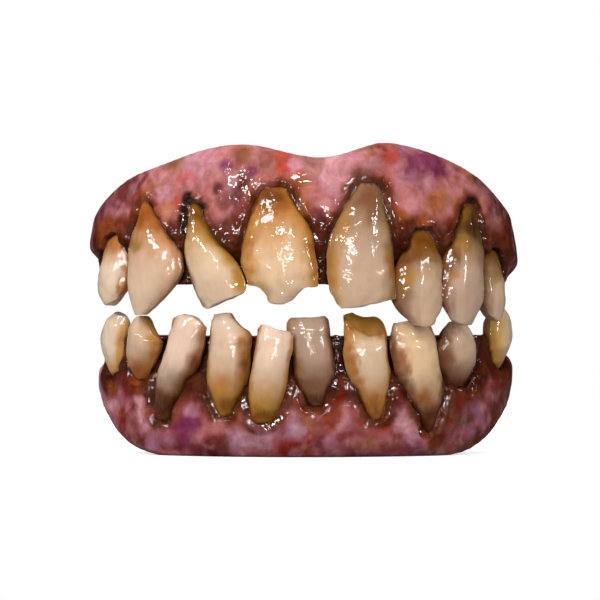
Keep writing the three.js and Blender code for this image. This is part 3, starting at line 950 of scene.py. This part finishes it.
# %% Stained enamel
def enamel_material(name):
    material = new_material(name)
    tree = material.node_tree
    place = node(tree, "TexCoord")
    paint = node(tree, "Attribute", attribute_name="paint")
    stretch = node(tree, "Mapping", {"Vector": place.outputs["Object"], "Scale": (1.0, 1.0, 0.3)})
    streaks = node(tree, "TexNoise", {
        "Vector": stretch.outputs["Vector"], "Scale": 900.0, "Detail": 5.0})
    tone = node(tree, "MapRange", {
        "Value": streaks.outputs["Fac"], "From Min": 0.3, "From Max": 0.7, "To Min": 0.94, "To Max": 1.05})
    toned = node(tree, "VectorMath", {
        0: paint.outputs["Color"], 1: tone.outputs["Result"]}, operation="MULTIPLY")
    flatten = node(tree, "Mapping", {"Vector": place.outputs["Object"], "Scale": (0.7, 0.7, 1.3)})
    waves = node(tree, "TexNoise", {
        "Vector": flatten.outputs["Vector"], "Scale": 1300.0, "Detail": 1.0, "Distortion": 1.5})
    lacquer = node(tree, "Bump", {
        "Height": waves.outputs["Fac"], "Strength": 0.42, "Distance": 0.08 * MM})
    shader = node(tree, "BsdfPrincipled", {
        "Base Color": toned.outputs["Vector"], "Roughness": 0.55, "Specular IOR Level": 0.05,
        "Coat Weight": 1.0, "Coat Roughness": 0.03, "Coat Normal": lacquer.outputs["Normal"],
        "Subsurface Weight": 0.2, "Subsurface Radius": (1.0, 0.6, 0.35), "Subsurface Scale": 0.5 * MM,
    })
    node(tree, "OutputMaterial", {"Surface": shader.outputs["BSDF"]})
    return material


SHADES = {slot: enamel_material(f"{slot}_enamel") for slot in ("ivory", "amber", "grey")}
print("enamels:", list(SHADES))

# %% Enamel on every tooth
for plate, row in teeth.items():
    for node_name, piece in row.items():
        shade = TOOTH_CHART[node_name][0].split()[-1]
        piece.data.materials.append(SHADES[shade])
        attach(piece, plate)
print("users of each enamel:", {slot: material.users for slot, material in SHADES.items()})

# %% [markdown]
# ## Painting the gums
# The gums are stippled with many pinks, violets and reds, then washed with brown that settles round the
# teeth. Between the teeth they turn dark red-brown, a stain there and painted shade as well, and a black line
# of painted shade runs along the crevice at each tooth. Each dab is noted by its place, size and paint, and
# its outline is stirred by noise, so that no circle shows. The washes follow the distance to the teeth. A
# second value on each vertex says where the lacquer is wet.

# %% Paints for the gums
GUM_PAINTS = paints(
    rose="#b97472", blush="#d59ea6", lilac="#c08692", lavender="#b58a9e", violet="#742850", mauve="#9f687e",
    heather="#8a586c", plum="#682a34", maroon="#66301f", oxblood="#541a1c", vermilion="#b3432c",
    brick="#7a2212", sienna="#94481c", tan="#a26330", khaki="#8f5c40", taupe="#5e4036", dusty="#a9726c",
    rosewood="#925056", rust="#6a2a0e", umber="#54280b", blood="#3e1308", mahogany="#4e2318",
    soot="#200c05", acrylic="#b5706c", coral="#c07860", wine="#7c3a3c",
)
# Paints of the left end, the middle and the right end, and where the ends' paint starts and is full
# The right ends' dark paints are partly the gum's colour and partly painted shade on the end turned from the
# light.
GUM_BASE = {"upper": ("plum", "rose", "mahogany"), "lower": ("mauve", "rosewood", "taupe")}
GUM_ENDS = (24.0, 33.0)
# Paint, size of its clouds in millimetres, and the clouds' seed
GUM_MARBLING = [("brick", 2.4, 11), ("blush", 1.8, 12), ("plum", 2.8, 13), ("khaki", 2.2, 14)]
print("gum paints:", len(GUM_PAINTS))

# %% Dabs on the gums
# The blood dabs in the gaps between the upper teeth are partly painted shade.
GUM_DABS = {"upper": spots(
    "118 190 22 plum, 108 208 10 mauve, 120 211 8 lilac, 136 176 9 violet, 160 180 16 rose",
    "186 176 9 vermilion, 197 157 24 lilac, 174 161 12 khaki, 160 195 10 lilac, 142 196 10 sienna",
    "178 202 8 vermilion, 168 212 10 tan, 224 170 7 violet, 249 170 8 violet, 242 156 12 khaki",
    "240 181 8 oxblood, 218 190 6 oxblood, 234 197 8 plum, 213 206 10 rose, 222 204 9 maroon",
    "263 160 9 khaki, 283 155 13 vermilion, 280 168 9 vermilion, 297 174 7 vermilion, 294 164 6 lilac",
    "242 210 12 plum, 252 195 7 lilac, 227 226 12 blood, 110 217 9 sienna, 104 228 12 sienna",
    "124 224 9 maroon, 168 224 9 maroon, 314 162 14 dusty, 299 186 12 tan, 347 162 15 lilac",
    "333 184 16 lilac, 337 169 14 blush, 335 196 9 lilac, 374 170 10 blush, 363 178 6 khaki",
    "381 150 13 brick, 392 158 10 vermilion, 368 151 9 khaki, 425 159 24 violet, 440 168 13 violet",
    "407 149 9 mauve, 404 177 10 lilac, 422 188 10 lilac, 410 198 9 rose, 431 201 10 tan, 440 195 8 tan",
    "446 203 8 dusty, 398 195 9 rose, 395 207 6 vermilion, 400 216 6 sienna, 410 219 8 tan",
    "423 222 9 sienna, 459 207 8 tan, 470 180 9 khaki, 462 174 8 sienna, 458 165 9 maroon",
    # The dark dabs at the right end, past pixel 480, are partly painted shade.
    "488 178 15 mahogany, 500 197 12 mahogany, 494 210 8 plum, 506 226 9 rust, 506 240 11 umber",
    "509 262 9 umber, 497 240 8 maroon, 453 223 9 rust, 321 198 11 rose, 321 232 12 blood",
    "400 228 8 blood, 135 182 10 plum, 152 185 10 coral, 114 212 10 rose, 237 193 12 oxblood",
    "499 220 8 dusty, 130 186 11 plum, 470 180 9 khaki, 414 176 9 mauve",
), "lower": spots(
    "104 389 9 mauve, 101 377 8 plum, 112 409 9 dusty, 119 412 6 brick, 119 421 6 brick, 121 431 6 brick",
    "133 412 5 umber, 134 426 6 umber, 138 403 6 blush, 142 415 5 lilac, 145 426 5 lilac",
    "151 413 6 vermilion, 137 440 8 umber, 125 438 7 brick, 154 438 9 mauve, 150 448 9 mauve",
    "165 433 9 mauve, 174 426 9 violet, 186 422 13 violet, 188 437 12 violet, 177 447 9 plum",
    "194 409 10 mauve, 214 419 12 rose, 208 433 10 rose, 226 426 10 rose, 237 415 9 dusty",
    "214 451 15 oxblood, 194 452 9 plum, 229 445 9 oxblood, 243 438 16 lavender, 257 436 14 lavender",
    "269 428 10 lavender, 289 426 9 heather, 293 419 9 lavender, 286 441 9 heather, 297 435 7 mauve",
    "297 448 14 brick, 286 453 11 brick, 306 436 9 brick, 299 424 9 lavender, 306 414 6 dusty",
    "327 423 9 brick, 324 413 7 brick, 340 403 7 rose, 344 411 9 rose, 335 426 10 rose, 299 451 12 brick",
    "312 436 9 brick, 327 444 13 plum, 341 441 10 mauve, 353 444 9 plum, 360 441 9 dusty, 372 441 9 khaki",
    "391 444 9 maroon, 404 425 12 lavender, 407 414 9 lilac, 410 436 10 lavender, 401 402 7 rosewood",
    # The umber and taupe dabs at the lower right end are partly painted shade.
    "422 447 12 heather, 437 444 12 taupe, 448 432 9 heather, 466 417 12 taupe, 478 410 10 heather",
    "484 422 9 mauve, 498 403 11 plum, 496 422 14 umber, 481 439 12 umber, 466 447 10 taupe",
    "470 432 10 heather, 107 401 10 lilac, 331 416 12 brick, 294 452 15 brick, 309 420 9 khaki",
    "347 440 13 wine, 121 414 7 brick, 402 450 14 wine, 218 426 12 dusty, 404 425 9 blush",
)}
print("gum dabs:", {plate: len(dabs) for plate, dabs in GUM_DABS.items()})

# %% Stains, pits, wet and dry places
# Stains over the brown margins; those of blood, plum and umber in the gaps between teeth are partly painted
# shade
GUM_STAINS = {"upper": spots(
    "105 230 13 sienna, 101 240 8 sienna, 118 222 7 rust, 141 198 8 sienna, 134 212 6 sienna",
    "178 202 6 vermilion, 402 214 7 sienna, 424 221 9 sienna, 136 201 5 rust, 131 213 5 rust",
    "155 207 5 brick, 163 223 5 rust, 362 182 12 taupe, 374 188 8 taupe, 321 211 8 plum, 321 222 10 blood",
    "440 214 7 tan, 506 248 9 rust, 213 206 7 rose, 166 213 10 coral, 303 204 8 tan, 439 203 9 tan",
), "lower": spots(
    "112 388 9 sienna, 122 380 6 oxblood, 135 384 9 sienna, 128 391 8 brick, 142 392 6 sienna",
    "139 402 7 blush, 142 413 7 blush, 145 424 6 lilac, 151 413 5 vermilion, 327 405 7 brick",
    "338 400 6 brick, 398 392 6 brick, 463 400 9 brick, 456 405 8 rust, 480 394 8 rust, 495 386 9 brick",
    "505 376 7 brick, 218 428 10 rose, 199 380 11 umber",
)}
# Pits, painted black as shade in their hollows, and places that are lacquered or stay dry
GUM_PITS = {
    "upper": spots("188 199 9, 184 209 8, 183 220 6, 185 231 5, 203 205 4, 475 200 9, 480 208 6"),
    "lower": spots("246 382 6, 160 412 7"),
}
GUM_WET = {"upper": spots(
    "236 184 18, 314 163 14, 300 182 10, 388 205 12, 484 225 14, 192 200 12, 228 232 12, 321 217 12",
    "388 214 12",
), "lower": spots(
    "215 415 9, 270 424 12, 150 425 9, 405 418 12, 372 420 10, 300 430 7, 247 392 7, 293 395 7, 342 372 9",
    "396 382 8",
)}
GUM_DRY = {"upper": [], "lower": spots("201 382 17, 137 378 9")}
print("gum stains:", {plate: len(stains) for plate, stains in GUM_STAINS.items()})

# %% What the gum's paints follow
DRIFT = (2.4, 4, 4)
LIFT = (2.4, 4, 5)
RAGGED = (0.9, 3, 7)
DARK_HEIGHTS = {"upper": (26.6, 31.6), "lower": (5.6, 8.4)}
DARK_GAPS = (1.6, 3.0)


def gum_measures(plate, piece):
    """Three noises, the distance to the teeth, the same made ragged, and 1 where stain and painted shade
    darken the gum.
    """
    points = points_of(piece)
    drift, lift, ragged = (cloud(points, *settings) for settings in (DRIFT, LIFT, RAGGED))
    beside = gaps_beside(plate, points)
    near = beside + 0.3 * lift + 0.3 * ragged
    dark = toothward(plate, points[:, 2] + 0.8 * lift, DARK_HEIGHTS) * fade(near, *DARK_GAPS)
    return drift, lift, ragged, beside, near, dark


measures = {plate: gum_measures(plate, piece) for plate, piece in gums.items()}
print("dark share:", {plate: round(float(values[-1].mean()), 2) for plate, values in measures.items()})

# %% The gums' colours
def paint_gum(plate, piece):
    points = points_of(piece)
    _, offset, run, _ = arch_place(plate, points)
    drift, lift, ragged, _, near, dark = measures[plate]
    left, middle, right = GUM_BASE[plate]
    colour = lay(np.tile(GUM_PAINTS[middle], (len(points), 1)), GUM_PAINTS, [
        (left, smooth(-run + drift, *GUM_ENDS)),
        (right, smooth(run + drift, *GUM_ENDS)),
    ])
    for *spot, paint in GUM_DABS[plate]:
        away = near_pixel(plate, points, run, spot, (drift, lift))
        colour = blend(colour, GUM_PAINTS[paint], 0.9 * fade(away, 0.4, 1.4))
    for paint, size, seed in GUM_MARBLING:
        colour = blend(colour, GUM_PAINTS[paint], 0.32 * smooth(cloud(points, size, 5, seed), 0.0, 0.8))
    wash = wash_of(points)
    thick = 0.4 + 0.6 * wash
    colour = lay(colour, GUM_PAINTS, [
        ("sienna", 0.5 * wash * fade(near, 1.0, 2.6)),
        ("brick", 0.7 * wash * fade(near, 0.8, 1.9)),
        # The dark share between the teeth is laid as rust, umber and blood: a stain, and painted shade at
        # once.
        ("rust", 0.9 * np.maximum(dark, thick * fade(near, 0.8, 1.3))),
        ("umber", 0.7 * dark * smooth(ragged, -0.4, 0.4)),
        ("umber", thick * fade(near, 0.45, 0.95)),
        ("blood", 0.8 * dark * smooth(drift, -0.6, 0.3)),
        # a black line of painted shade in the crevice where the gum meets the tooth
        ("soot", 0.5 * wash * fade(near, -0.05, 0.25)),
    ])
    for *spot, paint in GUM_STAINS[plate]:
        away = near_pixel(plate, points, run, spot, (drift, lift))
        colour = blend(colour, GUM_PAINTS[paint], 0.8 * fade(away, 0.2, 1.45))
    # Painted shade: the gum that sinks back between the teeth is darkened towards black.
    sunk = fade(offset + 0.3 * drift, -0.2, 1.0)
    colour = blend(colour, GUM_PAINTS["soot"], 0.6 * sunk * dark)
    # The pits are painted black: painted shade in their hollows.
    for spot in GUM_PITS[plate]:
        away = near_pixel(plate, points, run, spot, (0.4 * drift, 0.4 * lift))
        colour = blend(colour, GUM_PAINTS["soot"], 0.95 * fade(away, 0.5, 1.1))
    inside = GUM_PAINTS["acrylic"] * (1 + 0.12 * drift[:, None])
    store_colour(piece, "paint", blend(inside, colour, labial_share(plate, piece)))


for plate, piece in gums.items():
    paint_gum(plate, piece)
print("painted gums:", list(gums))

# %% Where the lacquer is wet
PATCHES = (2.0, 2, 8)


def lacquer_gum(plate, piece):
    """Wet in patches along the margins and in the dark, and at the charted places of the front."""
    points = points_of(piece)
    turn, _, run, _ = arch_place(plate, points)
    drift, lift, _, beside, _, dark = measures[plate]
    patchy = 0.12 + 0.88 * smooth(cloud(points, *PATCHES), -0.2, 0.3)
    margin = 1.6 * fade(beside + 0.3 * lift, 0.6, 1.6)
    wet = patchy * np.clip(np.maximum(margin, 0.7 * dark), 0, 1)
    for spot in GUM_DRY[plate]:
        wet *= smooth(near_pixel(plate, points, run, spot), 0.7, 1.1)
    for spot in GUM_WET[plate]:
        away = near_pixel(plate, points, run, spot, (0.5 * drift, 0.5 * lift))
        wet = np.maximum(wet, 1.5 * fade(away, 0.4, 1.2))
    front = 0.15 + 0.85 * smooth(np.cos(turn), 0.2, 0.6)
    wet = labial_share(plate, piece) * front * np.clip(wet, 0, 1)
    attribute = piece.data.attributes.new("wet", "FLOAT", "POINT")
    attribute.data.foreach_set("value", wet.astype(np.float32))
    return round(float(wet.mean()), 2)


print("wet share:", {plate: lacquer_gum(plate, piece) for plate, piece in gums.items()})

# %% [markdown]
# ## The gum's finish
# One material shows the painted colours, marbled by fine noise like the veins in dyed acrylic. Its coat is
# laid on only where the vertices say wet, so that the margins glisten while the faces stay satin. Two
# materials with a mask between them would also do, but one with a varying coat has no seam.

# %% Painted gum
gum_material = new_material("painted_gum")
tree = gum_material.node_tree
place = node(tree, "TexCoord")
paint = node(tree, "Attribute", attribute_name="paint")
wet = node(tree, "Attribute", attribute_name="wet")
marble = node(tree, "TexNoise", {
    "Vector": place.outputs["Object"], "Scale": 520.0, "Detail": 7.0, "Roughness": 0.62, "Distortion": 0.5})
share = node(tree, "MapRange", {"Value": marble.outputs["Fac"], "From Min": 0.36, "From Max": 0.64})
FACTOR, FIRST, SECOND, MIXED = 0, 6, 7, 2
veined = node(tree, "Mix", {
    FACTOR: share.outputs["Result"], FIRST: (0.78, 0.62, 0.6, 1), SECOND: (1.12, 1.17, 1.18, 1),
}, data_type="RGBA")
toned = node(tree, "VectorMath", {
    0: paint.outputs["Color"], 1: veined.outputs[MIXED]}, operation="MULTIPLY")
tissue = node(tree, "TexNoise", {
    "Vector": place.outputs["Object"], "Scale": 1000.0, "Detail": 0.0, "Distortion": 1.0})
lacquer = node(tree, "Bump", {
    "Height": tissue.outputs["Fac"], "Strength": 0.4, "Distance": 0.15 * MM})
shader = node(tree, "BsdfPrincipled", {
    "Base Color": toned.outputs["Vector"], "Roughness": 0.5, "Specular IOR Level": 0.04,
    "Coat Weight": wet.outputs["Fac"], "Coat Roughness": 0.03, "Coat IOR": 1.7,
    "Coat Normal": lacquer.outputs["Normal"],
    "Subsurface Weight": 0.1, "Subsurface Radius": (1.0, 0.4, 0.3), "Subsurface Scale": 0.4 * MM,
})
node(tree, "OutputMaterial", {"Surface": shader.outputs["BSDF"]})
for plate, piece in gums.items():
    piece.data.materials.append(gum_material)
    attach(piece, plate)
print("nodes in the gum's material:", len(tree.nodes))

# %% [markdown]
# ## Handing over
# Every piece now names the solid that it stands for, and has been told which plate carries it, so that the
# upper row lifts off with its gum. The solids themselves are hidden from the render.

# %% Hand over
for plate, row in teeth.items():
    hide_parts(f"{plate}_gum")
    for node_name, piece in row.items():
        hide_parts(node_name)
